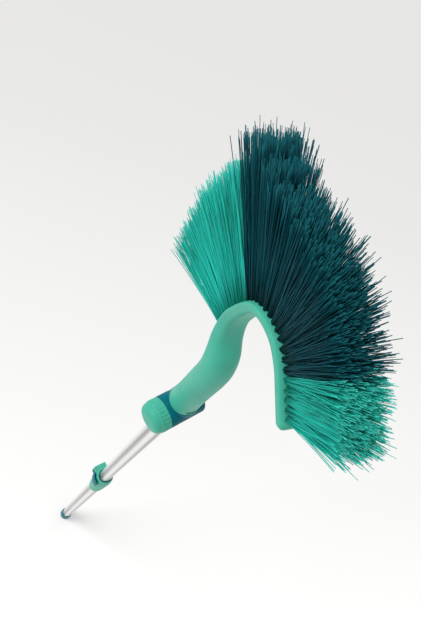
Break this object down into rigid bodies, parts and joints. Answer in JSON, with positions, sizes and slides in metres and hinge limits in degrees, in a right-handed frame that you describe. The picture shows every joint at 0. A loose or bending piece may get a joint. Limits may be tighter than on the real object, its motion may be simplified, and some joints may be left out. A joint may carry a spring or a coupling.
{
  "type": "cobweb brush",
  "caption": "Long-handled cobweb brush: fan of stiff bristles round an arched head on a swivelling, tilting joint, with a telescopic two-tube handle and lever clamp.",
  "frame": {"origin": "centre of the hanging hole in the end cap", "axes": "+Z along the handle towards the head, +Y along the hanging hole; the arch lies in the XZ plane and opens towards +X"},
  "size_m": [0.2272, 0.0603, 1.6042],
  "materials": {
    "light_green": "smooth matt moulded plastic, light green",
    "dark_teal": "smooth matt moulded plastic, dark teal",
    "petrol_plastic": "matt dark plastic",
    "tube_metal": "drawn tube, satin",
    "steel": "plated steel",
    "green_bristle": "stiff plastic filaments, light teal green",
    "petrol_bristle": "stiff plastic filaments, dark petrol blue"
  },
  "bodies": {
    "handle": {"outer_tube": "tube_metal", "end_cap": "dark_teal", "clamp_collar": "light_green", "clamp_liner": "petrol_plastic", "lever_pin": "steel"},
    "lever": {"clamp_lever": "dark_teal"},
    "upper_tube": {"inner_tube": "tube_metal", "guide_bush": "petrol_plastic", "tube_knuckle": "dark_teal"},
    "joint": {"joint_drum": "dark_teal", "drum_cover": "dark_teal", "pivot_bolt": "steel"},
    "washer": {"knob_washer": "steel"},
    "knob": {"clamp_knob": "light_green", "knob_nut": "steel"},
    "head": {"head_arch": "light_green", "bristles_neck_row_1": "green_bristle", "bristles_neck_row_2": "green_bristle", "bristles_neck_row_3": "green_bristle", "bristles_neck_row_4": "green_bristle", "bristles_crown_row_1": "petrol_bristle", "bristles_crown_row_2": "petrol_bristle", "bristles_crown_row_3": "petrol_bristle", "bristles_crown_row_4": "petrol_bristle", "bristles_front_row_1": "petrol_bristle", "bristles_front_row_2": "petrol_bristle", "bristles_front_row_3": "petrol_bristle", "bristles_front_row_4": "petrol_bristle", "bristles_end_row_1": "green_bristle", "bristles_end_row_2": "green_bristle", "bristles_end_row_3": "green_bristle", "bristles_end_row_4": "green_bristle"}
  },
  "joints": [
    {"name": "telescope", "type": "slide", "parent": "handle", "child": "upper_tube", "axis": [0, 0, 1], "range_m": [-0.44, 0.02]},
    {"name": "lever_turn", "type": "hinge", "parent": "handle", "child": "lever", "pos_m": [-0.01509, -0.01129, 0.724], "axis": [0, 0, -1], "range_deg": [0, 110]},
    {"name": "head_tilt", "type": "hinge", "parent": "upper_tube", "child": "joint", "pos_m": [0, 0, 1.25], "axis": [0.309, -0.9511, 0], "range_deg": [-42, 80]},
    {"name": "head_swivel", "type": "hinge", "parent": "joint", "child": "head", "pos_m": [0, 0, 1.25], "axis": [0, 0, 1], "range_deg": [-5.5, 41.5]},
    {"name": "knob_backoff", "type": "slide", "parent": "joint", "child": "washer", "axis": [0.309, -0.9511, 0], "range_m": [0, 0.0019]},
    {"name": "knob_turn", "type": "hinge", "parent": "washer", "child": "knob", "pos_m": [0, 0, 1.25], "axis": [0.309, -0.9511, 0], "range_deg": [0, 540]}
  ],
  "couplings": [
    {"joint": "knob_backoff", "follows": "knob_turn", "m_per_rad": 0.00019894}
  ]
}
